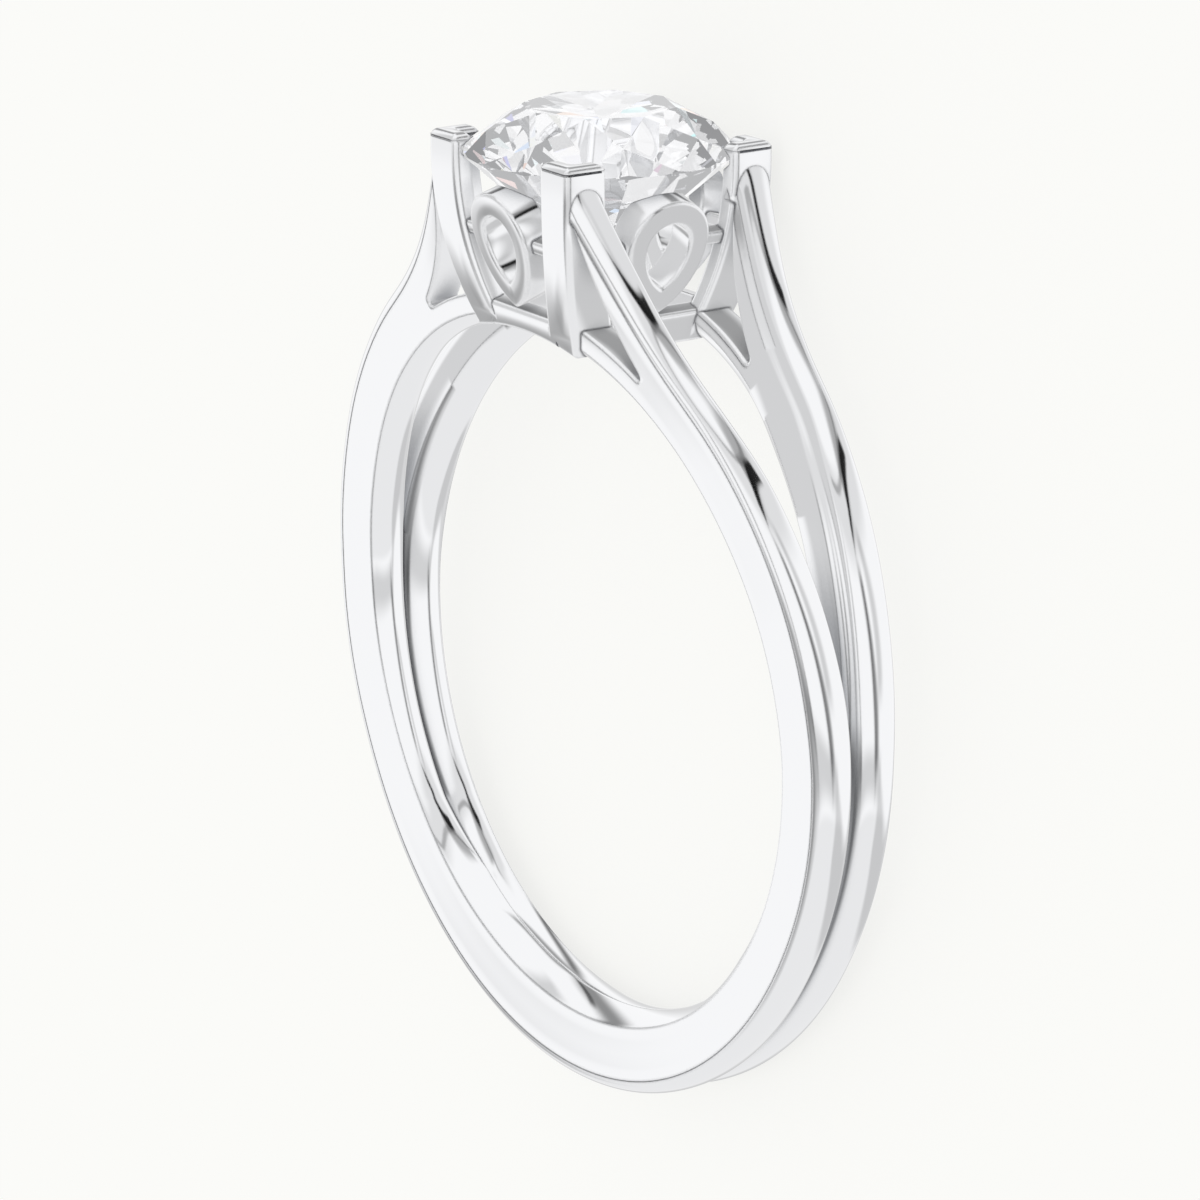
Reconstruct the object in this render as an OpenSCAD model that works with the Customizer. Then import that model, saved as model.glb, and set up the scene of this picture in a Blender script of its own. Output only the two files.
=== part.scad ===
// Split shank solitaire ring with a basket head and one round brilliant stone.
// Modelled as worn (X across the finger, Y along it, Z up to the stone), then laid on its side.

/* [Shank] */
// Inside diameter at the crown of the comfort-fit inside
finger_d = 16.5; // [15.5:0.1:18.5]
// Height of the dome on the inside of each rail
inner_dome = 0.28; // [0.2:0.01:0.36]
// Height of the flat side face of the rails
side_h = 1.2; // [1:0.01:1.6]
// Height of the dome on the outside of each rail
outer_dome = 0.35; // [0.2:0.01:0.5]
// Swell of the outside at the foot, which draws in again half-way up to the sides
foot_swell = 0.06; // [0:0.01:0.1]
// Width of the band at its foot
foot_w = 1.96; // [1.6:0.01:2.4]
// How far each side face leans in towards the finger at the foot
side_lean = 0.2; // [0:0.01:0.24]
// Half width of the groove between the rails at the foot
groove_half = 0.06; // [0.04:0.005:0.09]
// Depth of that groove's sloping flanks
groove_depth = 0.2; // [0.1:0.01:0.3]
// How far the facing sides of the rails swell towards each other
slot_swell = 0.12; // [0.1:0.005:0.16]

/* [Shoulders] */
// Angle from the foot at which the shoulders leave the round of the band
shoulder_from = 140; // [134:1:146]
// Power of the shoulders' upward sweep
shoulder_power = 2.5; // [2:0.1:3]
// Distance from the prong tips down to the tops of the shoulders
shoulder_drop = 1.16; // [0.9:0.02:1.4]
// How far the long side of a window bows towards the prong
window_bow = 0.33; // [0.2:0.01:0.4]
// Thickness of the arc below the window, without its dome
under_arc_t = 0.47; // [0.4:0.01:0.6]
// Rounding of the window's corners
window_round = 0.1; // [0.06:0.01:0.14]
// How far the outer face of a shoulder stands in from the prong's outer face
shoulder_reveal = 0.03; // [0.02:0.01:0.08]
// How far the facing side of a shoulder stands in from the end of the prong's leg
shoulder_inset = 0.1; // [0.04:0.01:0.12]

/* [Basket] */
// Height of the stone's girdle above the finger circle
girdle_rise = 3.94; // [3.7:0.02:4.3]
// Height of the prong tips above the girdle
prong_over = 0.37; // [0.3:0.01:0.5]
// Gap between the girdle and the prongs' inner corners
corner_gap = 0.1; // [0.05:0.01:0.14]
// Length of each leg of the angle-shaped prongs
prong_leg = 1.09; // [0.95:0.01:1.2]
// Thickness of the legs
prong_t = 0.52; // [0.42:0.01:0.6]
// Length of the straight upper stretch of the prongs
prong_straight = 0.46; // [0.4:0.02:1.1]
// Radius of the curve in which the prongs draw in below it
prong_curve_r = 10.8; // [9:0.1:12]
// Bevel along the prongs' outer corner and ends
prong_bevel = 0.09; // [0.05:0.01:0.12]
// Thickness of the bars of the base frame under the loops
base_wall = 0.5; // [0.4:0.01:0.6]
// Height of the base frame's top above the finger circle
base_rise = 0.5; // [0.45:0.01:0.6]

/* [Loops] */
// Radius of the round top of the teardrop loops
loop_r = 1.07; // [0.95:0.01:1.2]
// Radius of the round top of the teardrop holes
loop_hole_r = 0.56; // [0.45:0.01:0.62]
// Distance from the prong tips down to the middle of the loops' round top
loop_drop = 2.06; // [1.96:0.02:2.2]
// How much lower the middle of the hole lies than that of the loop
loop_hole_down = 0.07; // [0:0.01:0.1]
// Distance from the middle of the loop down to its point
loop_point = 1.75; // [1.65:0.01:1.85]
// Distance from the middle of the hole down to its point
loop_hole_point = 1.04; // [0.9:0.01:1.1]
// Depth of the loops, inwards
loop_depth = 0.78; // [0.6:0.01:0.9]
// Angle by which the loops lean out at the top
loop_lean = 16; // [13:0.5:18]
// How far the middle of the loops' faces stands in from the prongs' faces
loop_inset = 0.04; // [0.02:0.01:0.1]
// How far the base frame's face stands in from the chord of the prongs' curve
base_inset = 0.08; // [0.06:0.01:0.12]
// Height of the small links between loops and prongs
link_h = 0.3; // [0.2:0.01:0.4]
// Distance from the middle of the loops down to the middle of the links
link_down = 0.12; // [0:0.01:0.2]
// Depth of those links
link_depth = 0.4; // [0.25:0.01:0.45]
// How far the links' faces stand in from the loops' faces
link_inset = 0.2; // [0.16:0.01:0.24]

/* [Stone] */
// Diameter of the stone at its girdle
stone_d = 6.2; // [6:0.05:6.8]
// Width of the table as a share of the diameter
table_share = 0.56; // [0.53:0.01:0.6]
// Slope of the crown's main facets
crown_angle = 36; // [33:0.5:36.5]
// Slope of the pavilion's main facets
pavilion_angle = 40.8; // [40:0.2:42]
// Thickness of the girdle
girdle_t = 0.1; // [0.06:0.01:0.14]
// Share of the way down the crown that the star facets reach
star_share = 0.5; // [0.4:0.05:0.6]
// Share of the way down to the culet that the lower half facets reach
lower_share = 0.76; // [0.7:0.02:0.8]
// Clearance between the stone and its seat
seat_gap = 0.03; // [0.02:0.01:0.05]

/* [Hidden] */

// Steps around the band, dome facets outside and inside
STEPS = 80;
DOME = 6;
PALM = 5;
$fn = 64;
// Least width that a closed groove keeps, so that no face vanishes
HAIR = 0.02;
// Depth by which the finger hole is cut into the crowns of the inner domes
LAND = 0.04;
// Overlap by which solids that are one casting run into each other
SINK = 0.12;

// Radii of the band: finger circle, edges of the side face, crest
r_finger = finger_d / 2;
r_in = r_finger + inner_dome;
r_out = r_in + side_h;
foot_half = foot_w / 2;

// The stone's place and the prongs that follow from it
stone_r = stone_d / 2;
girdle_z = r_finger + girdle_rise;
table_r = stone_r * table_share;
crown_h = (stone_r - table_r) * tan(crown_angle);
table_z = girdle_z + girdle_t / 2 + crown_h;
pavilion_h = stone_r * tan(pavilion_angle);
culet_z = girdle_z - girdle_t / 2 - pavilion_h;
prong_half = stone_r * cos(45) + corner_gap + prong_t;
prong_top = girdle_z + prong_over;
curve_z = prong_top - prong_straight;
base_top = r_finger + base_rise;
base_low = r_finger - 2 * inner_dome;

// Where the shoulders end: on the prongs' outer faces
shoulder_top = prong_top - shoulder_drop;
shoulder_half = prong_half - shoulder_reveal;
slot_half = prong_half - prong_leg + shoulder_inset;
a_top = 180 - atan2(prong_half, shoulder_top);
a_end = a_top + 1.4;
r_top = norm([prong_half, shoulder_top]);

// How the rails part on their way up: height as a share of the outer radius,
// then how much of the way from foot to shoulder the outer and the facing sides have gone
FLARE = [
    [-1.06, 0.000, 0.000],
    [-1.00, 0.000, 0.000],
    [-0.75, 0.000, 0.003],
    [-0.37, 0.006, 0.009],
    [0.00, 0.049, 0.018],
    [0.15, 0.096, 0.046],
    [0.32, 0.162, 0.137],
    [0.48, 0.249, 0.250],
    [0.64, 0.352, 0.393],
    [0.75, 0.442, 0.546],
    [0.86, 0.550, 0.666],
    [1.00, 0.708, 0.806],
    [1.18, 0.963, 1.000],
    [1.30, 1.140, 1.080]
];

// Smooth reading of one column of a table at t, whose first column rises
function slope(table, i, c) =
    (table[i + 1][c] - table[i - 1][c]) / (table[i + 1][0] - table[i - 1][0]);
function hermite(p, q, m, n, u) =
    p * (1 + 2 * u) * pow(1 - u, 2) + q * u * u * (3 - 2 * u)
    + m * u * pow(1 - u, 2) - n * u * u * (1 - u);
function row_of(table, t, i = 1) =
    i >= len(table) - 3 || t < table[i + 1][0] ? i : row_of(table, t, i + 1);
function read(table, c, t) =
    let (
        i = row_of(table, t),
        w = table[i + 1][0] - table[i][0],
        u = max(0, min(1, (t - table[i][0]) / w))
    )
    hermite(table[i][c], table[i + 1][c], slope(table, i, c) * w, slope(table, i + 1, c) * w, u);

function outer_half(z) = foot_half + (shoulder_half - foot_half) * read(FLARE, 1, z / r_out);
function inner_half(z) = groove_half + (slot_half - groove_half) * read(FLARE, 2, z / r_out);
function lean(z) = side_lean * max(0, 0.6 - z / r_out) / 1.6;

// Outline of the band by angle from its foot, the same on both sides
function sweep(a) =
    a <= shoulder_from ? 0
    : (r_top - r_out) * pow((a - shoulder_from) / (a_top - shoulder_from), shoulder_power);
function swell(a) = abs(a) < 90 ? foot_swell * cos(3 * a) : 0;
function r_edge(a) = r_out + swell(a) + sweep(abs(a));
function r_rate(a) = (r_edge(abs(a) + 0.5) - r_edge(abs(a) - 0.5)) * 180 / PI;
function bulge(a) = outer_dome * norm([r_edge(a), r_rate(a)]) / r_edge(a);
// 0 where the inside is one dome at the foot, 1 where each rail has its own
function parting(a) = max(0, min(1, (abs(a) - 36) / 16));
// The rails are one body where their facing sides would touch
function joined(a) = inner_half(-r_out * cos(a)) <= slot_swell;
function facing(a, r) = joined(a) ? 0 : max(HAIR, inner_half(-r * cos(a)) - slot_swell);

// A point of the band: angle from the foot, distance from the finger's axis, place along it
function at(a, r, y) = [r * sin(a), y, -r * cos(a)];

function palm_r(a, y, from, to) =
    let (u = (2 * y - from - to) / (to - from), own = 1 - u * u, one = 1 - pow(y / to, 2))
    r_in - (inner_dome + LAND) * (own * parting(a) + one * (1 - parting(a)));

// One rail's section at an angle: outer dome, facing side, inner dome, side face
function section(a, side) =
    let (
        re = r_edge(a),
        ze = -re * cos(a),
        zi = -r_in * cos(a),
        rm = (re + r_in) / 2,
        zm = -rm * cos(a),
        yo = outer_half(ze),
        ys = inner_half(ze),
        yi = outer_half(zi) - lean(zi),
        yp = max(HAIR, inner_half(zi) * parting(a)),
        rp = palm_r(a, yp, yp, yi),
        rv = rp + max(HAIR, groove_depth * parting(a))
    )
    concat(
        [for (i = [0:DOME]) at(a, re + bulge(a) * sin(180 * i / DOME),
            side * (yo + (ys - yo) * (1 - cos(180 * i / DOME)) / 2))],
        [at(a, re - groove_depth, side * facing(a, re)),
         at(a, rm, side * facing(a, rm)),
         at(a, rv, side * facing(a, rv))],
        [for (i = [0:PALM]) let (y = yp + (yi - yp) * i / PALM) at(a, palm_r(a, y, yp, yi), side * y)],
        [at(a, rm, side * (outer_half(zm) - lean(zm) / 2))]
    );

SECTION = DOME + PALM + 6;
function angle_of(s) = a_end * (2 * s / STEPS - 1);
// The faces on the facing side are left out where the rails are one body
function open_edge(s, i) =
    !(i > DOME && i < DOME + 3 && joined(angle_of(s)) && joined(angle_of(s + 1)));

function rail_faces(base, flip) =
    let (
        walls = [for (s = [0:STEPS - 1], i = [0:SECTION - 1], half = [0, 1]) if (open_edge(s, i))
            let (p = base + s * SECTION, q = p + SECTION, j = (i + 1) % SECTION)
            half == 0 ? [p + i, p + j, q + j] : [p + i, q + j, q + i]],
        last = base + STEPS * SECTION,
        first_cap = [for (i = [1:SECTION - 2]) [base, base + i + 1, base + i]],
        last_cap = [for (i = [1:SECTION - 2]) [last, last + i, last + i + 1]],
        all = concat(walls, first_cap, last_cap)
    )
    flip ? [for (f = all) [f[0], f[2], f[1]]] : all;

// Both rails in one surface: joined at the foot, apart from the sides of the finger upwards
module rails() {
    points = concat(
        [for (s = [0:STEPS]) each section(angle_of(s), -1)],
        [for (s = [0:STEPS]) each section(angle_of(s), 1)]
    );
    polyhedron(
        points = points,
        faces = concat(rail_faces(0, true), rail_faces((STEPS + 1) * SECTION, false))
    );
}

// Opening between shoulder, prong and under-arc, seen along the finger: its point lies
// at an angle from the foot, its long side bows towards the prong
window_r = r_in + under_arc_t;
window_a = 148.3;
window_end = 169;

module window_outline() {
    steps = 12;
    tip = [window_r * sin(window_a), -window_r * cos(window_a)];
    top = [prong_half, shoulder_top - window_round];
    run = top - tip;
    bow = window_bow * [-run[1], run[0]] / norm(run);
    offset(r = window_round) offset(delta = -window_round)
        polygon(concat(
            [for (i = [0:steps]) let (t = i / steps) tip + run * t + bow * 4 * t * (1 - t)],
            [[prong_half - prong_t, top[1]]],
            [for (i = [0:4]) let (a = window_end - (window_end - window_a) * i / 5)
                [window_r * sin(a), -window_r * cos(a)]]
        ));
}

module windows() {
    for (side = [0, 1])
        mirror([side, 0, 0])
            translate([0, prong_half + SINK, 0])
                rotate([90, 0, 0])
                    linear_extrude(2 * (prong_half + SINK)) window_outline();
}

// The prongs' outer faces: straight at the top, then drawn in along a wide curve
function prong_at(z) =
    prong_half - (z >= curve_z ? 0 : prong_curve_r - sqrt(pow(prong_curve_r, 2) - pow(curve_z - z, 2)));

// Section of the angle-shaped prong at a height, with its corner and ends bevelled
function prong_section(z, trim) =
    let (p = prong_at(z) - trim, b = prong_bevel, e = prong_at(z) - prong_leg + trim,
         q = prong_at(z) - prong_t + trim)
    [
        [p - b, p], [e + b / 2, p], [e, p - b / 2], [e, q],
        [q, q],
        [q, e], [p - b / 2, e], [p, e + b / 2], [p, p - b]
    ];

module prong() {
    steps = 9;
    edge = prong_bevel * 0.7;
    heights = concat(
        [for (i = [0:steps]) base_low + (curve_z - base_low) * i / steps],
        [prong_top - edge, prong_top]
    );
    n = 9;
    top = len(heights) - 1;
    points = [for (k = [0:top], p = prong_section(heights[k], k == top ? edge : 0)) [p[0], p[1], heights[k]]];
    polyhedron(
        points = points,
        faces = concat(
            [for (k = [0:top - 1], i = [0:n - 1], half = [0, 1])
                let (a = k * n + i, b = k * n + (i + 1) % n)
                half == 0 ? [a, a + n, b + n] : [a, b + n, b]],
            // Each end is fanned from the inner corner, from which all of it can be seen
            [for (i = [5:11]) [4, i % n, (i + 1) % n]],
            [for (i = [5:11]) [top * n + 4, top * n + (i + 1) % n, top * n + i % n]]
        )
    );
}

// Outline of a teardrop, point down: a round top and two wide arcs that meet in the point
module teardrop(r, point) {
    steps = 8;
    wide = (point * point + r * r) / (2 * r);
    sweep_a = asin(point / wide);
    circle(r);
    polygon(concat(
        [for (i = [0:steps]) let (a = sweep_a * i / steps) [wide * cos(a) - wide + r, -wide * sin(a)]],
        [for (i = [steps - 1:-1:0]) let (a = sweep_a * i / steps) [wide - r - wide * cos(a), -wide * sin(a)]]
    ));
}

loop_z = prong_top - loop_drop;

// A loop with its two links, on the side towards +Y
module loop() {
    reach = prong_half - prong_leg + SINK;
    translate([0, prong_half - loop_inset, loop_z])
        rotate([90 - loop_lean, 0, 0]) {
            linear_extrude(loop_depth)
                difference() {
                    teardrop(loop_r, loop_point);
                    translate([0, -loop_hole_down]) teardrop(loop_hole_r, loop_hole_point);
                }
            for (side = [-1, 1])
                translate([side > 0 ? loop_r - SINK : -reach, -link_down - link_h / 2, link_inset])
                    cube([reach - loop_r + SINK, link_h, link_depth]);
        }
}

// A bar of the base frame, on the side towards +Y, leaning as the prongs do at their feet
base_lean = atan((prong_at(loop_z) - prong_at(base_top)) / (loop_z - base_top));

module base_bar() {
    reach = prong_at(base_top) - prong_leg + SINK;
    tall = (base_top - base_low) / cos(base_lean);
    translate([0, prong_at(base_top) - base_inset, base_top])
        rotate([-base_lean, 0, 0])
            translate([-reach, -base_wall, -tall])
                cube([2 * reach, base_wall, tall]);
}

// Room for the stone: its own profile turned round, with the seat's clearance
module stone_seat() {
    r = stone_r + seat_gap;
    rotate_extrude()
        polygon([
            [0, culet_z - 2 * seat_gap],
            [r, girdle_z - girdle_t / 2 - seat_gap],
            [r, girdle_z + girdle_t / 2 + seat_gap],
            [0, girdle_z + girdle_t / 2 + seat_gap + r * tan(crown_angle)]
        ]);
}

module ring_mount() {
    color("gainsboro")
        laid_on_side()
            difference() {
                union() {
                    // The steps of the sweep are evened out to the band's full width
                    resize([2 * (r_out + outer_dome), 0, 0])
                        difference() {
                            rails();
                            windows();
                        }
                    for (turn = [0:3]) rotate([0, 0, 90 * turn]) prong();
                    for (turn = [0:3]) rotate([0, 0, 90 * turn]) loop();
                    for (turn = [0:3]) rotate([0, 0, 90 * turn]) base_bar();
                }
                stone_seat();
                translate([0, prong_half + SINK, 0])
                    rotate([90, 0, 0])
                        cylinder(r = r_finger, h = 2 * (prong_half + SINK), $fn = 120);
            }
}

// Points of one ring of the stone's corners
function corners(n, r, z, turn) = [for (i = [0:n - 1]) [r * cos(turn + 360 * i / n), r * sin(turn + 360 * i / n), z]];

// Round brilliant: table, eight stars, eight kites, sixteen upper halves, girdle,
// sixteen lower halves and eight pavilion mains
module diamond() {
    half = 22.5;
    star_z = table_z - crown_h * star_share;
    star_r = (stone_r - (star_z - girdle_z - girdle_t / 2) / tan(crown_angle)) / cos(half);
    low_z = girdle_z - girdle_t / 2 - pavilion_h * lower_share;
    low_r = (stone_r - pavilion_h * lower_share / tan(pavilion_angle)) / cos(half);
    points = concat(
        corners(8, table_r, table_z, 0),
        corners(8, star_r, star_z, half),
        corners(16, stone_r, girdle_z + girdle_t / 2, 0),
        corners(16, stone_r, girdle_z - girdle_t / 2, 0),
        corners(8, low_r, low_z, half),
        [[0, 0, culet_z]]
    );
    star = 8;
    up = 16;
    down = 32;
    low = 48;
    culet = 56;
    crown = [for (i = [0:7]) let (j = (i + 1) % 8, b = (i + 7) % 8) each [
        [i, j, star + i],
        [i, up + 2 * i, star + b],
        [i, star + i, up + 2 * i],
        [star + i, up + 2 * i + 1, up + 2 * i],
        [star + i, up + 2 * j, up + 2 * i + 1]
    ]];
    girdle = [for (i = [0:15]) let (j = (i + 1) % 16) each [
        [up + i, down + j, down + i],
        [up + i, up + j, down + j]
    ]];
    pavilion = [for (i = [0:7]) let (j = (i + 1) % 8, b = (i + 7) % 8) each [
        [low + i, down + 2 * i, down + 2 * i + 1],
        [low + i, down + 2 * i + 1, down + 2 * j],
        [low + i, culet, down + 2 * i],
        [low + b, down + 2 * i, culet]
    ]];
    color("aliceblue")
        laid_on_side()
            polyhedron(
                points = points,
                faces = concat([[for (i = [0:7]) 7 - i]], crown, girdle, pavilion)
            );
}

// The ring lies on the top of one loop and the foot of the band, with the stone towards -Y
rest_y = prong_half - loop_inset + loop_r * sin(loop_lean);
rest_z = loop_z + loop_r * cos(loop_lean);
foot_r = r_out + foot_swell;
tilt = atan((rest_y - foot_half) / (rest_z + foot_r));
lift = foot_r * sin(tilt) + foot_half * cos(tilt);
reach_head = table_z * cos(tilt) + table_r * sin(tilt);
reach_foot = (foot_r + outer_dome) * cos(tilt) + (foot_half + groove_half) / 2 * sin(tilt);

module laid_on_side() {
    translate([0, (reach_head - reach_foot) / 2, lift])
        rotate([-tilt, 0, 0])
            rotate([-90, 0, 180])
                children();
}

ring_mount();
diamond();
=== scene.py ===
"""Looks of a split shank solitaire ring: one polished casting, one round brilliant stone.

The ring's sizes are given as its maker would draw it, standing up: X across the band, Y along
the finger, Z towards the stone, in millimetres from the middle of the finger hole. The class
Pose lays it on its side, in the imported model's frame and in metres.
"""

import logging
import math
from dataclasses import dataclass
from enum import Enum

import bpy
import numpy as np
from mathutils import Matrix, Vector


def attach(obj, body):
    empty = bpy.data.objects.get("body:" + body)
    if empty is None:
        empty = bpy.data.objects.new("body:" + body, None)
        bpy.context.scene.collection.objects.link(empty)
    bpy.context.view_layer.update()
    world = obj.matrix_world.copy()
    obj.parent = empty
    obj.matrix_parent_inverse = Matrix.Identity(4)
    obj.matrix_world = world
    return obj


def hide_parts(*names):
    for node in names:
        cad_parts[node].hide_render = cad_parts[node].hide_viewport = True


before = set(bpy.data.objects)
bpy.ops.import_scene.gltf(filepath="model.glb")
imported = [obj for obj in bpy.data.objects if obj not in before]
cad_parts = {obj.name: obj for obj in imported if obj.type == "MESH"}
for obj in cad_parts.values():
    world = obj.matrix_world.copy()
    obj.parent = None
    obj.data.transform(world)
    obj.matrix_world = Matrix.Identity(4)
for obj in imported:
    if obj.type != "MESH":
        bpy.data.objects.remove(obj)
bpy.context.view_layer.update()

log = logging.getLogger("ring")

Socket = bpy.types.NodeSocket

METRE = 0.001
PALE = (0.955, 0.955, 0.935, 1.0)
WHITE = (1.0, 1.0, 1.0, 1.0)
QUARTER_TURN = np.radians([0, 22.5, 45, 67.5, 90])


class Finish(Enum):
    """The record's material slots."""

    METAL = "white_gold"
    STONE = "diamond"


@dataclass(frozen=True)
class Pose:
    """How the ring lies: on the top of one loop and the foot of the band."""

    tilt: float = math.radians(5.59111)
    lift: float = 1.92916
    shift: float = 1.59739

    def matrix(self) -> Matrix:
        """Gives the matrix from the ring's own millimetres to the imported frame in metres."""
        lie = Matrix(((-1, 0, 0), (0, 0, -1), (0, -1, 0)))
        turn = Matrix.Rotation(-self.tilt, 3, "X") @ lie
        full = turn.to_4x4()
        full.translation = Vector((0.0, self.shift, self.lift))
        return Matrix.Scale(METRE, 4) @ full


POSE = Pose()


def deselect_all() -> None:
    """Leaves edit mode and selects nothing."""
    if bpy.context.object is not None and bpy.context.object.mode != "OBJECT":
        bpy.ops.object.mode_set(mode="OBJECT")
    bpy.ops.object.select_all(action="DESELECT")


def take(piece: bpy.types.Object) -> None:
    """Makes one object the only selected and the active one."""
    deselect_all()
    piece.select_set(True)
    bpy.context.view_layer.objects.active = piece


def woven(name: str, rows: np.ndarray, ring_closed: bool = False) -> bpy.types.Object:
    """Wraps a grid primitive round rows of points that each run round a section.

    Args:
        name: the new object's name.
        rows: points as an array of rows, columns and three, each row a closed section.
        ring_closed: whether the last row joins the first, as in a hoop.

    Returns:
        A closed mesh with outward faces, in the rows' own units.
    """
    points = np.concatenate([rows, rows[:, :1]], axis=1)
    if ring_closed:
        points = np.concatenate([points, points[:1]], axis=0)
    high, wide = points.shape[:2]
    deselect_all()
    bpy.ops.mesh.primitive_grid_add(x_subdivisions=wide - 1, y_subdivisions=high - 1, size=1.0)
    piece = bpy.context.object
    piece.name = name
    mesh = piece.data
    flat = np.zeros(len(mesh.vertices) * 3)
    mesh.vertices.foreach_get("co", flat)
    flat = flat.reshape(-1, 3)
    across = np.rint((flat[:, 0] + 0.5) * (wide - 1)).astype(int)
    up = np.rint((flat[:, 1] + 0.5) * (high - 1)).astype(int)
    mesh.vertices.foreach_set("co", points[up, across].ravel())
    mesh.update()
    bpy.ops.object.mode_set(mode="EDIT")
    bpy.ops.mesh.select_all(action="SELECT")
    bpy.ops.mesh.remove_doubles(threshold=1e-6)
    if not ring_closed:
        bpy.ops.mesh.fill_holes(sides=0)
    bpy.ops.mesh.select_all(action="SELECT")
    bpy.ops.mesh.normals_make_consistent(inside=False)
    bpy.ops.object.mode_set(mode="OBJECT")
    return piece


def on_arc(first: np.ndarray, last: np.ndarray, sweep: float, t: float) -> np.ndarray:
    """Gives a point of an arc about the origin.

    Args:
        first: the arc's first point.
        last: its last point.
        sweep: the angle between them.
        t: how far the point lies along the arc, from 0 to 1.

    Returns:
        The point.
    """
    return (math.sin((1 - t) * sweep) * first + math.sin(t * sweep) * last) / math.sin(sweep)


def rounded(corners: np.ndarray, radii: list[float], steps: int = 5) -> np.ndarray:
    """Rounds the corners of a flat outline.

    Args:
        corners: the outline's corners, two numbers each.
        radii: the radius at each corner.
        steps: steps round each corner.

    Returns:
        The rounded outline's points, in the same order.
    """
    points = []
    for i, corner in enumerate(corners):
        back = corners[i - 1] - corner
        on = corners[(i + 1) % len(corners)] - corner
        back = back / np.linalg.norm(back)
        on = on / np.linalg.norm(on)
        half = math.acos(float(np.clip(back @ on, -1, 1))) / 2
        centre = corner + (back + on) / np.linalg.norm(back + on) * radii[i] / math.sin(half)
        first = corner + back * radii[i] / math.tan(half) - centre
        last = corner + on * radii[i] / math.tan(half) - centre
        sweep = math.pi - 2 * half
        points += [centre + on_arc(first, last, sweep, t) for t in np.linspace(0, 1, steps + 1)]
    return np.array(points)


def soften(piece: bpy.types.Object, width: float, segments: int = 3, angle: float = 25.0) -> None:
    """Rounds a piece's crisp edges with an applied bevel.

    Args:
        piece: the object.
        width: the bevel's width in the piece's units.
        segments: steps round the bevel.
        angle: edges that turn by more than this many degrees are rounded.
    """
    take(piece)
    bevel = piece.modifiers.new("edges", "BEVEL")
    bevel.width = width
    bevel.segments = segments
    bevel.limit_method = "ANGLE"
    bevel.angle_limit = math.radians(angle)
    bevel.use_clamp_overlap = True
    bpy.ops.object.modifier_apply(modifier=bevel.name)


def combine(piece: bpy.types.Object, other: bpy.types.Object, how: str) -> None:
    """Joins another closed solid to a piece, or cuts it away, and removes the other.

    Args:
        piece: the object that stays.
        other: the object that is used up.
        how: UNION or DIFFERENCE.
    """
    take(piece)
    step = piece.modifiers.new("solid", "BOOLEAN")
    step.operation = how
    step.solver = "MANIFOLD"
    step.object = other
    bpy.ops.object.modifier_apply(modifier=step.name)
    bpy.data.objects.remove(other)


def placed_copy(piece: bpy.types.Object, name: str, matrix: Matrix) -> bpy.types.Object:
    """Copies a piece with its own mesh, turned or mirrored.

    Args:
        piece: the object to copy.
        name: the copy's name.
        matrix: how the copy's mesh is turned or mirrored.

    Returns:
        The copy, with outward faces.
    """
    copy = piece.copy()
    copy.data = piece.data.copy()
    copy.name = name
    bpy.context.scene.collection.objects.link(copy)
    copy.data.transform(matrix)
    if matrix.determinant() < 0:
        copy.data.flip_normals()
    return copy


# How the rails part on their way up: height as a share of the outer radius, then how much of
# the way from foot to shoulder the outer and the facing sides have gone
FLARE = np.array(
    [
        [-1.06, 0.000, 0.000],
        [-1.00, 0.000, 0.000],
        [-0.75, 0.000, 0.003],
        [-0.37, 0.006, 0.009],
        [0.00, 0.049, 0.018],
        [0.15, 0.096, 0.046],
        [0.32, 0.162, 0.137],
        [0.48, 0.249, 0.250],
        [0.64, 0.352, 0.393],
        [0.75, 0.442, 0.546],
        [0.86, 0.550, 0.666],
        [1.00, 0.708, 0.806],
        [1.18, 0.963, 1.000],
        [1.30, 1.140, 1.080],
    ]
)


def flare(column: int, share: np.ndarray) -> np.ndarray:
    """Reads one column of the flare table smoothly at heights given as shares.

    Args:
        column: 1 for the outer sides, 2 for the facing sides.
        share: heights as shares of the outer radius.

    Returns:
        How far the side has gone from foot to shoulder, from 0 to 1.
    """
    t = FLARE[:, 0]
    v = FLARE[:, column]
    rate = np.zeros(len(t))
    rate[1:-1] = (v[2:] - v[:-2]) / (t[2:] - t[:-2])
    i = np.clip(np.searchsorted(t, share, side="right") - 1, 1, len(t) - 3)
    w = t[i + 1] - t[i]
    u = np.clip((share - t[i]) / w, 0.0, 1.0)
    start = v[i] * (1 + 2 * u) * (1 - u) ** 2 + rate[i] * w * u * (1 - u) ** 2
    end = v[i + 1] * u * u * (3 - 2 * u) - rate[i + 1] * w * u * u * (1 - u)
    return start + end


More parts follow.
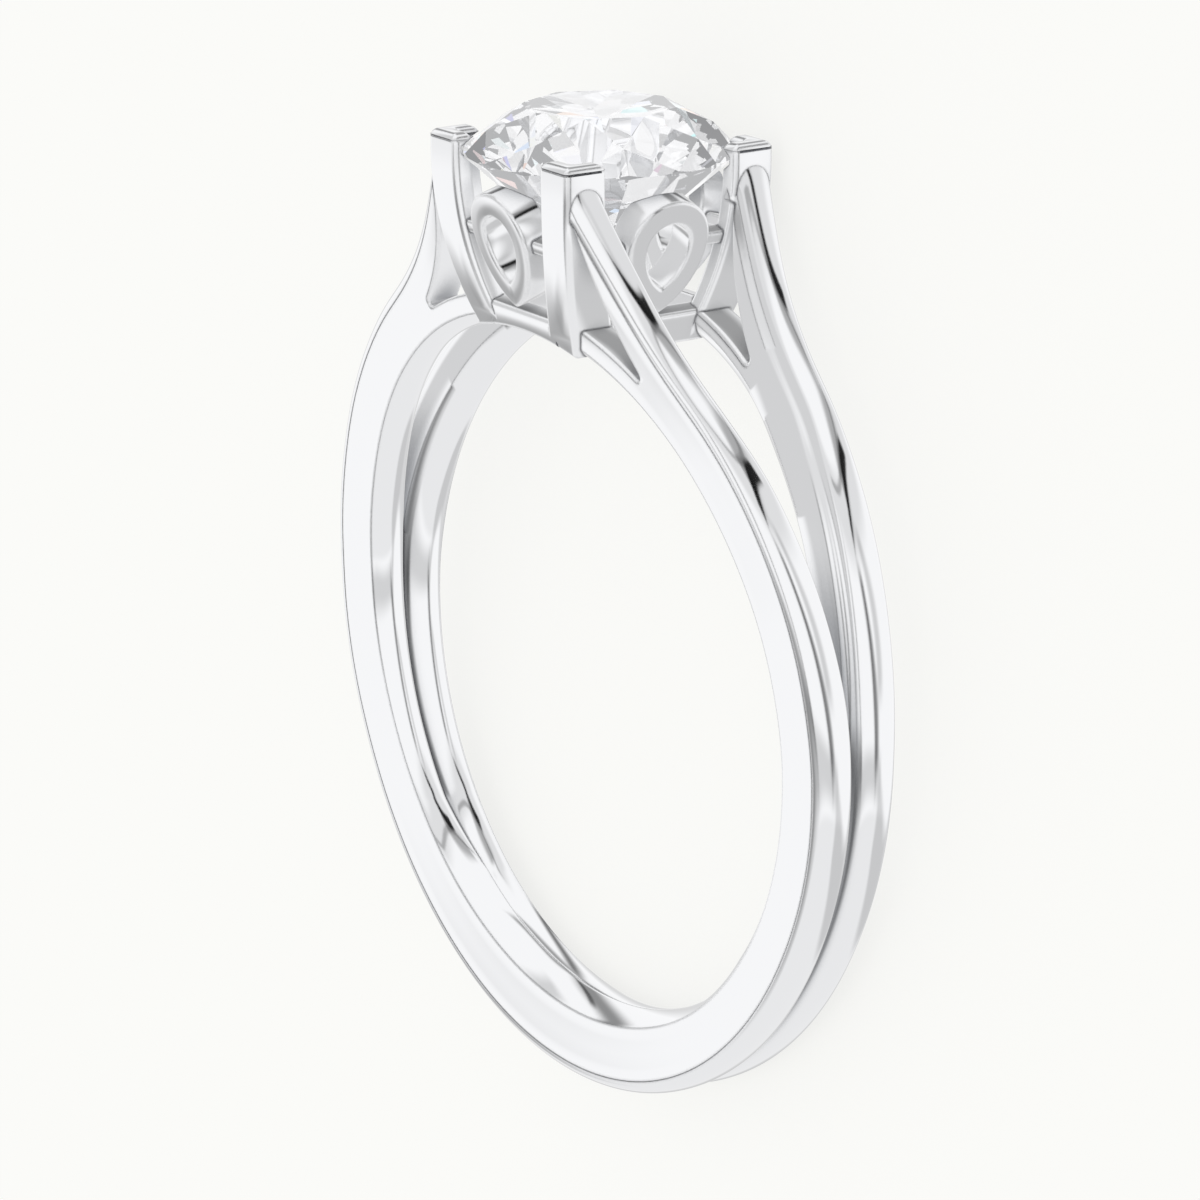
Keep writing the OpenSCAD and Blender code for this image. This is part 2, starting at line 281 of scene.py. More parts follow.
@dataclass
class Band:
    """The two rails of the shank, from the foot to where they run into the prongs."""

    finger_r: float = 8.25
    inner_dome: float = 0.28
    side_h: float = 1.2
    outer_dome: float = 0.35
    foot_swell: float = 0.06
    swell_end: float = 90.0
    swell_fade: float = 30.0
    foot_half: float = 0.98
    side_lean: float = 0.2
    lean_top: float = 0.6
    groove_half: float = 0.06
    groove_depth: float = 0.2
    slot_swell: float = 0.12
    shoulder_from: float = 140.0
    shoulder_power: float = 2.5
    shoulder_half: float = 2.78203
    slot_half: float = 1.82203
    shoulder_top: float = 11.40
    prong_half: float = 2.81203
    part_from: float = 36.0
    part_over: float = 16.0
    least_gap: float = 0.02
    edge: float = 0.03
    fullness: float = 0.9
    overlap: float = 0.04
    sunk_a: float = 1.4
    stations: int = 480
    dome_steps: int = 22
    palm_steps: int = 14

    @property
    def r_in(self) -> float:
        """Radius of the side faces' inner edge."""
        return self.finger_r + self.inner_dome

    @property
    def r_out(self) -> float:
        """Radius of the side faces' outer edge, away from foot and shoulders."""
        return self.r_in + self.side_h

    @property
    def a_top(self) -> float:
        """Angle from the foot at which the outer edge meets the prongs."""
        return 180.0 - math.degrees(math.atan2(self.prong_half, self.shoulder_top))

    def r_edge(self, a: np.ndarray) -> np.ndarray:
        """Gives the outer edge's radius at angles from the foot, in degrees."""
        a = np.abs(a)
        reach = math.hypot(self.prong_half, self.shoulder_top) - self.r_out
        share = np.clip((a - self.shoulder_from) / (self.a_top - self.shoulder_from), 0, None)
        swell = np.where(a < self.swell_end, self.foot_swell * np.cos(np.radians(3 * a)), 0.0)
        ease = np.clip((self.swell_end - a) / self.swell_fade, 0, 1)
        fade = np.where(a > self.swell_end - self.swell_fade, ease * ease * (3 - 2 * ease), 1)
        return self.r_out + swell * fade + reach * share**self.shoulder_power

    def outer_half(self, z: np.ndarray) -> np.ndarray:
        """Gives half the band's width over all at a height."""
        return self.foot_half + (self.shoulder_half - self.foot_half) * flare(1, z / self.r_out)

    def inner_half(self, z: np.ndarray) -> np.ndarray:
        """Gives half the gap between the crowns of the two rails at a height."""
        return self.groove_half + (self.slot_half - self.groove_half) * flare(2, z / self.r_out)

    def lean(self, z: np.ndarray) -> np.ndarray:
        """Gives how far the side faces draw in towards the finger at a height."""
        return self.side_lean * np.maximum(0, self.lean_top - z / self.r_out) / (1 + self.lean_top)

    def parting(self, a: np.ndarray) -> np.ndarray:
        """Gives 0 where the inside is one dome and 1 where each rail has its own."""
        return np.clip((np.abs(a) - self.part_from) / self.part_over, 0, 1)

    def palm_r(self, a: np.ndarray, y: np.ndarray, start: np.ndarray, end: np.ndarray) -> np.ndarray:
        """Gives the inside's radius at a place along the finger.

        Args:
            a: angles from the foot in degrees.
            y: places along the finger.
            start: the inner dome's edge towards the other rail.
            end: its edge at the side face.

        Returns:
            The radius, smallest at the crown.
        """
        u = (2 * y - start - end) / (end - start)
        part = self.parting(a)
        rise = (1 - u * u) * part + (1 - (y / end) ** 2) * (1 - part)
        return self.r_in - self.inner_dome * rise

    def section(self, a: np.ndarray) -> list[tuple[np.ndarray, np.ndarray]]:
        """Gives one rail's outline as radius and place along the finger, at every station.

        Args:
            a: the stations' angles from the foot in degrees.

        Returns:
            One pair of arrays for each point of the outline, in order.
        """
        cos = np.cos(np.radians(a))
        r_edge = self.r_edge(a)
        rate = (self.r_edge(np.abs(a) + 0.5) - self.r_edge(np.abs(a) - 0.5)) * 180 / math.pi
        bulge = self.outer_dome * np.hypot(r_edge, rate) / r_edge
        z_edge = -r_edge * cos
        z_in = -self.r_in * cos
        y_out = self.outer_half(z_edge)
        y_slot = self.inner_half(z_edge)
        y_in = self.outer_half(z_in) - self.lean(z_in)
        y_palm = np.maximum(self.least_gap, self.inner_half(z_in) * self.parting(a))
        side = [(r_edge - self.edge * 1.6, y_out), (r_edge - self.edge, y_out)]
        side += [
            (r_edge - self.edge * (1 - math.sin(t)), y_out - self.edge * (1 - math.cos(t)))
            for t in np.radians([30, 60])
        ]
        dome = []
        width = y_out - y_slot
        for i in range(self.dome_steps + 1):
            t = math.pi * i / self.dome_steps
            across = math.copysign(abs(math.cos(t)) ** self.fullness, math.cos(t))
            up = abs(math.sin(t)) ** self.fullness
            dome.append((r_edge + bulge * up, y_slot + width * (1 + across) / 2))
        facing = []
        for depth in (self.groove_depth * 0.5, self.groove_depth, 0.45, 0.7):
            r = r_edge - depth
            y = np.maximum(-self.overlap, self.inner_half(-r * cos) - self.slot_swell)
            facing.append((r, y if depth > self.groove_depth * 0.6 else (y + y_slot) / 2))
        palm = []
        for i in range(self.palm_steps + 1):
            y = y_palm + (y_in - self.edge - y_palm) * i / self.palm_steps
            palm.append((self.palm_r(a, y, y_palm, y_in), y))
        r_valley = palm[0][0] + np.maximum(self.least_gap, self.groove_depth * self.parting(a))
        y_valley = np.maximum(-self.overlap, self.inner_half(-r_valley * cos) - self.slot_swell)
        facing.append((r_valley, y_valley))
        corner = [
            (palm[-1][0] + self.edge * 0.35, y_in - self.edge * 0.35),
            (palm[-1][0] + self.edge * 1.0, y_in),
            (palm[-1][0] + self.edge * 1.6, y_in),
        ]
        face = []
        for share in (0.25, 0.5, 0.75):
            r = self.r_in + (r_edge - self.r_in) * share
            y = y_in + (y_out - y_in) * share
            face.append((r, y))
        return side + dome + facing + palm + corner + face

    def rail(self, side: int) -> bpy.types.Object:
        """Sweeps one rail, on the side towards +Y or -Y, with its ends inside the prongs."""
        a_end = self.a_top + self.sunk_a
        a = a_end * np.linspace(-1, 1, self.stations + 1)
        outline = self.section(a)
        sin, cos = np.sin(np.radians(a)), np.cos(np.radians(a))
        rows = [np.stack([r * sin, side * y, -r * cos], axis=-1) for r, y in outline]
        return woven("rail", np.stack(rows, axis=1))


@dataclass
class Windows:
    """The openings between shoulder, prong and under-arc."""

    band: Band
    tip_a: float = 148.3
    end_a: float = 169.0
    arc_r: float = 9.0
    bow: float = 0.33
    rounding: float = 0.1
    rim: float = 0.09
    prong_half: float = 2.81203
    prong_wall: float = 0.52
    shoulder_top: float = 11.40
    past_in: float = 0.3
    past_out: float = 0.4
    steps: int = 60

    def long_side(self) -> np.ndarray:
        """Gives the bowed side from the tip up to the prong, as points in X and Z."""
        a = math.radians(self.tip_a)
        tip = self.arc_r * np.array([math.sin(a), -math.cos(a)])
        top = np.array([self.prong_half, self.shoulder_top - self.rounding])
        run = top - tip
        bow = self.bow * np.array([-run[1], run[0]]) / np.linalg.norm(run)
        shares = np.linspace(0, 1, self.steps * 5 + 1)
        return np.array([tip + run * t + bow * 4 * t * (1 - t) for t in shares])

    def outline(self) -> np.ndarray:
        """Gives the opening on the +X side with its tip rounded, as points in X and Z."""
        side = self.long_side()
        run = np.gradient(side, axis=0)
        run /= np.linalg.norm(run, axis=1)[:, None]
        across = np.stack([-run[:, 1], run[:, 0]], axis=1)
        middles = side + self.rounding * across * self.inward(side, run)
        at = int(np.argmax(np.linalg.norm(middles, axis=1) >= self.arc_r + self.rounding))
        middle = middles[at]
        low = middle / np.linalg.norm(middle) * self.arc_r
        first, last = low - middle, side[at] - middle
        sweep = math.acos(float(first @ last) / self.rounding**2)
        points = [middle + on_arc(first, last, sweep, t) for t in np.linspace(0, 1, 9)[:-1]]
        points += list(side[at::5])
        points.append(np.array([self.prong_half - self.prong_wall, side[-1][1]]))
        start = math.degrees(math.atan2(low[0], -low[1]))
        for t in np.linspace(0, 1, self.steps // 2 + 1)[:-1]:
            a = math.radians(self.end_a - (self.end_a - start) * t)
            points.append(self.arc_r * np.array([math.sin(a), -math.cos(a)]))
        return np.array(points)

    def inward(self, side: np.ndarray, run: np.ndarray) -> float:
        """Gives 1 or -1, for the side of the long side on which the opening lies."""
        corner = np.array([self.prong_half - self.prong_wall, side[-1][1]])
        k = len(side) // 2
        return float(np.sign((corner - side[k]) @ np.array([-run[k][1], run[k][0]])))

    def cutter(self, side: int) -> bpy.types.Object:
        """Makes the solid that cuts the opening on one side, flared where it leaves a rail."""
        flat = self.outline()
        run = np.roll(flat, -1, axis=0) - np.roll(flat, 1, axis=0)
        run /= np.linalg.norm(run, axis=1)[:, None]
        out = np.stack([run[:, 1], -run[:, 0]], axis=1)
        turn = np.cross(flat, np.roll(flat, -1, axis=0)).sum()
        out *= 1 if turn > 0 else -1
        r = np.linalg.norm(flat, axis=1)
        a = np.degrees(np.arctan2(flat[:, 0], -flat[:, 1]))
        r_edge = self.band.r_edge(a)
        y_edge = self.band.outer_half(-r_edge * np.cos(np.radians(a)))
        z_in = -self.band.r_in * np.cos(np.radians(a))
        y_in = self.band.outer_half(z_in) - self.band.lean(z_in)
        outer = y_in + (y_edge - y_in) * (r - self.band.r_in) / (r_edge - self.band.r_in)
        inner = self.band.inner_half(flat[:, 1]) - self.band.slot_swell
        flare_out = [(self.rim * (1 - math.cos(t)), self.rim * (1 - math.sin(t))) for t in QUARTER_TURN]
        layers = [(inner - self.past_in, self.rim)]
        layers += [(inner + deep, wide) for deep, wide in flare_out]
        layers += [(outer - deep, wide) for deep, wide in flare_out[::-1]]
        layers.append((outer + self.past_out, self.rim))
        rows = []
        for way in (-1, 1):
            for y, wide in layers[::way]:
                grown = flat + out * wide
                rows.append(np.stack([side * grown[:, 0], way * y, grown[:, 1]], axis=1))
        return woven("window", np.array(rows))


@dataclass
class Prong:
    """One angle-shaped corner prong, straight at the top and drawn in below."""

    half: float = 2.81203
    top: float = 12.56
    straight: float = 0.46
    curve_r: float = 10.8
    leg: float = 1.09
    wall: float = 0.52
    corner: float = 0.14
    rim: float = 0.19
    foot: float = 0.1
    shoulder: float = 0.22
    inner_corner: float = 0.05
    least_corner: float = 0.03
    leg_draw: float = 0.25
    foot_z: float = 8.1
    stem_z: float = 8.45
    finger_r: float = 8.25
    steps: int = 26

    def half_at(self, z: float) -> float:
        """Gives the outer faces' distance from the axis at a height."""
        drop = max(0.0, self.top - self.straight - z)
        return self.half - self.curve_r + math.sqrt(self.curve_r**2 - drop**2)

    def outline(self, z: float, inset: float, draw: float) -> np.ndarray:
        """Gives the section at a height, seen from above.

        Args:
            z: the height.
            inset: how far the whole outline is drawn in.
            draw: how much shorter the legs are.

        Returns:
            Points in X and Y.
        """
        p = self.half_at(z) - inset
        e = self.half_at(z) - self.leg + inset + draw
        q = self.half_at(z) - self.wall + inset
        corners = np.array([(e, q), (q, q), (q, e), (p, e), (p, p), (e, p)])
        small = max(self.least_corner, self.corner - inset)
        return rounded(corners, [small, self.inner_corner + inset, small, small, small, small], 5)

    def build(self) -> bpy.types.Object:
        """Makes the prong of the +X +Y corner, with its foot on the round of the finger hole."""
        rows = []
        for t in QUARTER_TURN:
            flat = self.outline(self.foot_z, self.foot * (1 - math.sin(t)), 0.0)
            z = np.sqrt(self.finger_r**2 - flat[:, 0] ** 2) + self.foot * (1 - math.cos(t))
            rows.append(np.column_stack([flat, z]))
        neck = self.top - self.shoulder
        heights = [(z, 0.0) for z in np.linspace(self.stem_z, neck, self.steps)]
        heights += [(neck + self.shoulder * math.sin(t), 0.0) for t in np.radians([8, 16, 24])]
        heights += [
            (self.top - self.rim + self.rim * math.sin(t), self.rim * (1 - math.cos(t)))
            for t in np.radians([0, 18, 36, 54, 72, 90])
        ]
        for z, inset in heights:
            up = max(0.0, z - self.top + self.shoulder) / self.shoulder
            draw = self.shoulder * (1 - math.sqrt(max(0.0, 1 - up * up))) * self.leg_draw
            flat = self.outline(z, inset, draw)
            rows.append(np.column_stack([flat, np.full(len(flat), z)]))
        return woven("prong", np.array(rows))


@dataclass
class Loop:
    """A teardrop loop between two prongs, with its two links."""

    r: float = 1.07
    point: float = 1.75
    hole_r: float = 0.56
    hole_point: float = 1.04
    hole_down: float = 0.07
    depth: float = 0.78
    lean: float = 16.0
    out: float = 2.77203
    z: float = 10.5
    link_h: float = 0.3
    link_down: float = 0.12
    link_depth: float = 0.4
    link_inset: float = 0.2
    link_rim: float = 0.07
    rim: float = 0.11
    sink: float = 0.12
    reach: float = 1.84203

    def teardrop(self, r: float, point: float, down: float) -> np.ndarray:
        """Gives a teardrop's outline: a round top and two wide arcs that meet below.

        Args:
            r: the round top's radius.
            point: how far the point lies below the round top's centre.
            down: how far the whole outline is moved down.

        Returns:
            Points in X and Y, from the right round the top to the left and the point.
        """
        wide = (point * point + r * r) / (2 * r)
        reach = math.asin(point / wide)
        top = [(r * math.cos(t), r * math.sin(t)) for t in np.linspace(0, math.pi, 49)]
        turns = np.linspace(0, reach, 17)[1:]
        left = [(wide - r - wide * math.cos(t), -wide * math.sin(t)) for t in turns]
        right = [(-x, y) for x, y in left[-2::-1]]
        return np.array(top + left + right) - np.array([0, down])

    def build(self) -> bpy.types.Object:
        """Makes the loop of the +Y side."""
        outer = self.teardrop(self.r, self.point, 0.0)
        inner = self.teardrop(self.hole_r, self.hole_point, self.hole_down)
        rims = ((outer, self.depth), (outer, 0), (inner, 0), (inner, self.depth))
        rows = np.array([[[x, y, z] for x, y in flat] for flat, z in rims])
        piece = woven("loop", rows, ring_closed=True)
        soften(piece, self.rim, 5)
        for side in (-1, 1):
            deselect_all()
            start = self.r - self.sink
            middle = side * (self.reach + start) / 2
            z = self.link_inset + self.link_depth / 2
            bpy.ops.mesh.primitive_cube_add(size=1.0, location=(middle, -self.link_down, z))
            link = bpy.context.object
            link.scale = (self.reach - start, self.link_h, self.link_depth)
            bpy.ops.object.transform_apply(location=True, scale=True)
            soften(link, self.link_rim, 4)
            combine(piece, link, "UNION")
        lean = Matrix.Rotation(math.radians(90 - self.lean), 4, "X")
        piece.data.transform(Matrix.Translation((0, self.out, self.z)) @ lean)
        return piece


@dataclass
class BaseBar:
    """One bar of the frame round the feet of the prongs."""

    prong: Prong
    wall: float = 0.5
    rise: float = 0.5
    inset: float = 0.08
    rim: float = 0.11
    sink: float = 0.12
    foot_inset: float = 0.1
    finger_r: float = 8.25
    loop_z: float = 10.5

    def build(self, turned: bool) -> bpy.types.Object:
        """Makes the bar of the +Y side, leaning as the prongs do, with its foot on the finger hole.

        Args:
            turned: whether it will be turned to the X sides, across the finger.

        Returns:
            The bar as a closed solid.
        """
        top = self.finger_r + self.rise
        drawn_in = self.prong.half_at(self.loop_z) - self.prong.half_at(top)
        lean = math.atan(drawn_in / (self.loop_z - top))
        reach = self.prong.half_at(top) - self.prong.leg + self.sink
        face = self.prong.half_at(top) - self.inset
        thick = self.wall / math.cos(lean)
        rows = []
        for x in np.linspace(-reach, reach, 25):
            corners = []
            for y, high in ((face, 0.0), (face - thick, self.wall * math.sin(lean))):
                across = y - self.foot_inset if turned else x
                low = math.sqrt(self.finger_r**2 - across**2)
                ends = [(y, top + high), (y - (top - low) * math.tan(lean), low)]
                corners += ends if y == face else ends[::-1]
            flat = rounded(np.array(corners), [self.rim] * 4, 5)
            rows.append(np.column_stack([np.full(len(flat), x), flat]))
        return woven("base_bar", np.array(rows))


@dataclass
class Brilliant:
    """The round brilliant stone, cut from a round blank plane by plane."""

    r: float = 3.1
    table_share: float = 0.56
    crown_angle: float = 36.0
    pavilion_angle: float = 40.8
    girdle_t: float = 0.1
    star_share: float = 0.5
    lower_share: float = 0.76
    girdle_z: float = 12.19
    seat_gap: float = 0.03
    seat_tip: float = 0.01
    steps: int = 96

    @property
    def table_r(self) -> float:
        """Radius of the table's corners."""
        return self.r * self.table_share

    @property
    def table_z(self) -> float:
        """Height of the table."""
        slope = math.tan(math.radians(self.crown_angle))
        return self.girdle_z + self.girdle_t / 2 + (self.r - self.table_r) * slope

    @property
    def culet_z(self) -> float:
        """Height of the stone's lowest point."""
        slope = math.tan(math.radians(self.pavilion_angle))
        return self.girdle_z - self.girdle_t / 2 - self.r * slope

    def corner(self, r: float, z: float, turn: float) -> Vector:
        """Gives a point at a radius, height and angle in degrees."""
        return Vector((r * math.cos(math.radians(turn)), r * math.sin(math.radians(turn)), z))

    def planes(self) -> list[tuple[Vector, Vector]]:
        """Gives every facet's plane, as a point on it and its outward normal."""
        half = 22.5
        crown_h = self.table_z - self.girdle_z - self.girdle_t / 2
        upper, lower = self.girdle_z + self.girdle_t / 2, self.girdle_z - self.girdle_t / 2
        star_z = self.table_z - crown_h * self.star_share
        tan_crown = math.tan(math.radians(self.crown_angle))
        tan_pavilion = math.tan(math.radians(self.pavilion_angle))
        star_r = (self.r - (star_z - upper) / tan_crown) / math.cos(math.radians(half))
        deep = self.r * tan_pavilion * self.lower_share
        low_r = (self.r - deep / tan_pavilion) / math.cos(math.radians(half))
        low_z = lower - deep
        found = []
        for i in range(8):
            a = 45.0 * i
            star = self.corner(star_r, star_z, a + half)
            back = self.corner(star_r, star_z, a - half)
            table = self.corner(self.table_r, self.table_z, a)
            following = self.corner(self.table_r, self.table_z, a + 45)
            main = self.corner(self.r, upper, a)
            between = self.corner(self.r, upper, a + half)
            found += [
                (table, star, main),
                (table, following, star),
                (star, between, main),
                (star, self.corner(self.r, upper, a + 45), between),
            ]
            low = self.corner(low_r, low_z, a + half)
            before = self.corner(low_r, low_z, a - half)
            under = self.corner(self.r, lower, a)
            under_half = self.corner(self.r, lower, a + half)
            found += [
                (before, low, self.corner(0, self.culet_z, 0)),
                (low, under, under_half),
                (low, under_half, self.corner(self.r, lower, a + 45)),
            ]
        middle = Vector((0, 0, self.girdle_z))
        planes = []
        for p, q, s in found:
            normal = (q - p).cross(s - p).normalized()
            if normal.dot(p - middle) < 0:
                normal = -normal
            planes.append((p, normal))
        return planes

    def build(self) -> bpy.types.Object:
        """Cuts the stone, in the ring's own frame."""
        deselect_all()
        bpy.ops.mesh.primitive_cylinder_add(
            vertices=self.steps,
            radius=self.r,
            depth=self.table_z - self.culet_z,
            location=(0, 0, (self.table_z + self.culet_z) / 2),
        )
        piece = bpy.context.object
        piece.name = "brilliant"
        bpy.ops.object.transform_apply(location=True)
        bpy.ops.object.mode_set(mode="EDIT")
        for point, normal in self.planes():
            bpy.ops.mesh.select_all(action="SELECT")
            bpy.ops.mesh.bisect(
                plane_co=point,
                plane_no=normal,
                use_fill=True,
                clear_outer=True,
                clear_inner=False,
                threshold=1e-5,
            )
        bpy.ops.mesh.select_all(action="SELECT")
        bpy.ops.mesh.normals_make_consistent(inside=False)
        bpy.ops.object.mode_set(mode="OBJECT")
        return piece

    def seat(self) -> bpy.types.Object:
        """Makes the solid that cuts the stone's room into prongs and loops."""
        r = self.r + self.seat_gap
        rise = r * math.tan(math.radians(self.crown_angle))
        profile = [
            (self.seat_tip, self.culet_z - 2 * self.seat_gap),
            (r, self.girdle_z - self.girdle_t / 2 - self.seat_gap),
            (r, self.girdle_z + self.girdle_t / 2 + self.seat_gap),
            (self.seat_tip, self.girdle_z + self.girdle_t / 2 + self.seat_gap + rise),
        ]
        turns = np.linspace(0, 2 * math.pi, self.steps + 1)[:-1]
        rows = [[[p * math.cos(t), p * math.sin(t), z] for t in turns] for p, z in profile]
        return woven("seat", np.array(rows))


@dataclass
class Casting:
    """The whole metal part: rails, windows, prongs, loops and base frame in one solid."""

    band: Band
    windows: Windows
    prong: Prong
    loop: Loop
    bar: BaseBar
    stone: Brilliant

    def build(self) -> bpy.types.Object:
        """Makes the solid in the ring's own frame."""
        whole = self.band.rail(1)
        combine(whole, self.band.rail(-1), "UNION")
        for side in (-1, 1):
            combine(whole, self.windows.cutter(side), "DIFFERENCE")
        prong = self.prong.build()
        loop = self.loop.build()
        quarters = [Matrix.Rotation(math.radians(90 * i), 4, "Z") for i in range(4)]
        across = self.bar.build(True)
        across.data.transform(quarters[1])
        along = self.bar.build(False)
        corners = [(x, y) for x in (-1, 1) for y in (-1, 1)]
        parts = [placed_copy(prong, "prong", Matrix.Diagonal((x, y, 1, 1))) for x, y in corners]
        parts += [placed_copy(loop, "loop", quarter) for quarter in quarters]
        parts += [placed_copy(across, "base_bar", Matrix.Diagonal((x, 1, 1, 1))) for x in (-1, 1)]
        parts += [placed_copy(along, "base_bar", Matrix.Diagonal((1, y, 1, 1))) for y in (-1, 1)]
        for part in parts:
            combine(whole, part, "UNION")
        for spare in (prong, loop, across, along):
            bpy.data.objects.remove(spare)
        combine(whole, self.stone.seat(), "DIFFERENCE")
        whole.name = "casting"
        whole.data.name = "casting"
        whole.visible_glossy = False
        return whole


class Nodes:
    """Shader nodes of a material or of the world, added one by one."""

    def __init__(self, tree: bpy.types.NodeTree) -> None:
        """Keeps the node tree that is added to."""
        self.tree = tree

    def feed(self, socket: Socket, value: object) -> None:
        """Links another socket to an input, or sets the input's value."""
        if isinstance(value, Socket):
            self.tree.links.new(value, socket)
        else:
            socket.default_value = value

    def add(self, kind: str, settings: dict[str, object], **inputs: object) -> bpy.types.Node:
        """Adds a node.

        Args:
            kind: the node's type, without ShaderNode.
            settings: the node's own properties.
            inputs: sockets or values for its inputs, with underscores for the spaces in their names.

        Returns:
            The node.
        """
        node = self.tree.nodes.new("ShaderNode" + kind)
        for name, value in settings.items():
            setattr(node, name, value)
        for name, value in inputs.items():
            self.feed(node.inputs[name.replace("_", " ")], value)
        return node

    def fill(self, node: bpy.types.Node, *values: object) -> bpy.types.Node:
        """Feeds a node's inputs in their order, each from a socket or with a value."""
        for socket, value in zip(node.inputs, values):
            self.feed(socket, value)
        return node

    def math(self, operation: str, *values: object) -> Socket:
        """Adds a math node with sockets or numbers, and gives its result."""
        return self.fill(self.add("Math", {"operation": operation}), *values).outputs[0]

    def dot(self, first: object, second: object) -> Socket:
        """Gives the dot product of two directions, each a socket or a vector."""
        node = self.add("VectorMath", {"operation": "DOT_PRODUCT"})
        return self.fill(node, first, second).outputs["Value"]

    def step(self, value: Socket, start: float, end: float, kind: str = "SMOOTHSTEP") -> Socket:
        """Gives a step between two values, in either direction.

        Args:
            value: the socket that is read.
            start: where the step starts, with 0.
            end: where it ends, with 1.
            kind: the step's form, SMOOTHSTEP or LINEAR.

        Returns:
            The step's height.
        """
        settings = {"interpolation_type": kind}
        node = self.add("MapRange", settings, Value=value, From_Min=start, From_Max=end)
        return node.outputs["Result"]

    def blend(self, factor: Socket, first: object, second: object) -> Socket:
        """Mixes two colours.

        Args:
            factor: how much of the second colour there is.
            first: the first colour, a socket or a value.
            second: the second colour, a socket or a value.

        Returns:
            The mixed colour.
        """
        node = self.add("Mix", {"data_type": "RGBA"}, Factor=factor)
        into = [socket for socket in node.inputs if socket.type == "RGBA"]
        self.feed(into[0], first)
        self.feed(into[1], second)
        return [socket for socket in node.outputs if socket.type == "RGBA"][0]


@dataclass(frozen=True)
class PolishedGold:
    """High polish white gold, with faint marks of the buffing wheel and painted shade in its crevices,
    where ambient occlusion finds them.

    The edges are too small to mirror the surround in a pixel, so their dark reflections are painted
    into the colour as thin lines: where the faces turn within a short reach, and where a face is seen
    at a grazing angle.
    """

    bright: tuple[float, float, float, float] = (0.90, 0.905, 0.92, 1.0)
    # deep: the painted shade's colour, used where ambient occlusion finds a crevice
    deep: tuple[float, float, float, float] = (0.28, 0.29, 0.31, 1.0)
    # the colour of the painted dark reflections along edges and grazing borders
    painted_edge_reflection: tuple[float, float, float, float] = (0.07, 0.072, 0.08, 1.0)
    roughness: float = 0.035
    wear_range: tuple[float, float] = (0.6, 1.8)
    swirl_scale: float = 420.0
    mark_scale: tuple[float, float, float] = (9000.0, 1100.0, 9000.0)
    mark_strength: float = 0.05
    mark_depth: float = 0.000004
    rounding: float = 0.00005
    # reach and thresholds of the painted dark edge reflections: how far the faces turn, and how grazing
    # the view is
    painted_edge_reach: float = 0.0001
    painted_edge_turn_range: tuple[float, float] = (0.985, 0.915)
    painted_rim_range: tuple[float, float] = (0.76, 0.93)
    # reach and range of the ambient occlusion that paints shade into crevices
    painted_shade_reach: float = 0.0009
    painted_shade_range: tuple[float, float] = (0.1, 0.72)

    def material(self) -> bpy.types.Material:
        """Builds the node material."""
        made = bpy.data.materials.new("white_gold_polish")
        made.use_nodes = True
        tree = Nodes(made.node_tree)
        place = tree.add("TexCoord", {}).outputs["Object"]
        inputs = made.node_tree.nodes["Principled BSDF"].inputs
        tree.feed(inputs["Base Color"], self.colour(tree))
        tree.feed(inputs["Roughness"], self.wear(tree, place))
        tree.feed(inputs["Normal"], self.marks(tree, place))
        inputs["Metallic"].default_value = 1.0
        return made

    def colour(self, tree: Nodes) -> Socket:
        """Gives the colour, with painted shade in crevices and painted dark reflections on edges and
        borders.
        """
        # painted shade: the colour turns to deep where ambient occlusion finds a crevice
        shade_occlusion = tree.add("AmbientOcclusion", {"samples": 6}, Distance=self.painted_shade_reach)
        clear = tree.step(shade_occlusion.outputs["AO"], *self.painted_shade_range)
        # painted reflection: dark lines where the faces turn within a short reach
        across = tree.add("Bevel", {"samples": 5}, Radius=self.painted_edge_reach).outputs[0]
        facing = tree.add("NewGeometry", {}).outputs["Normal"]
        turned = tree.step(tree.dot(across, facing), *self.painted_edge_turn_range, "LINEAR")
        # painted reflection: dark borders where a face is seen at a grazing angle
        grazing = tree.add("LayerWeight", {}, Blend=0.5).outputs["Facing"]
        rim = tree.step(grazing, *self.painted_rim_range, "LINEAR")
        edge = tree.math("MAXIMUM", turned, rim)
        # painted shade in the crevices, then the painted dark edge reflections over it
        return tree.blend(edge, tree.blend(clear, self.deep, self.bright), self.painted_edge_reflection)

    def wear(self, tree: Nodes, place: Socket) -> Socket:
        """Gives the roughness, which changes slowly over the metal."""
        swirl = tree.add("TexNoise", {}, Vector=place, Scale=self.swirl_scale, Detail=3.0)
        least, most = (self.roughness * share for share in self.wear_range)
        worn = tree.add("MapRange", {}, Value=swirl.outputs["Fac"], To_Min=least, To_Max=most)
        return worn.outputs["Result"]

    def marks(self, tree: Nodes, place: Socket) -> Socket:
        """Gives the normal, with rounded edges and the marks of the buffing wheel."""
        stretched = tree.add("Mapping", {}, Vector=place, Scale=self.mark_scale).outputs[0]
        marks = tree.add("TexNoise", {}, Vector=stretched, Scale=1.0, Detail=2.0).outputs["Fac"]
        soft = tree.add("Bevel", {"samples": 3}, Radius=self.rounding).outputs[0]
        bump = tree.add(
            "Bump", {}, Strength=self.mark_strength, Distance=self.mark_depth, Height=marks, Normal=soft
        )
        return bump.outputs["Normal"]


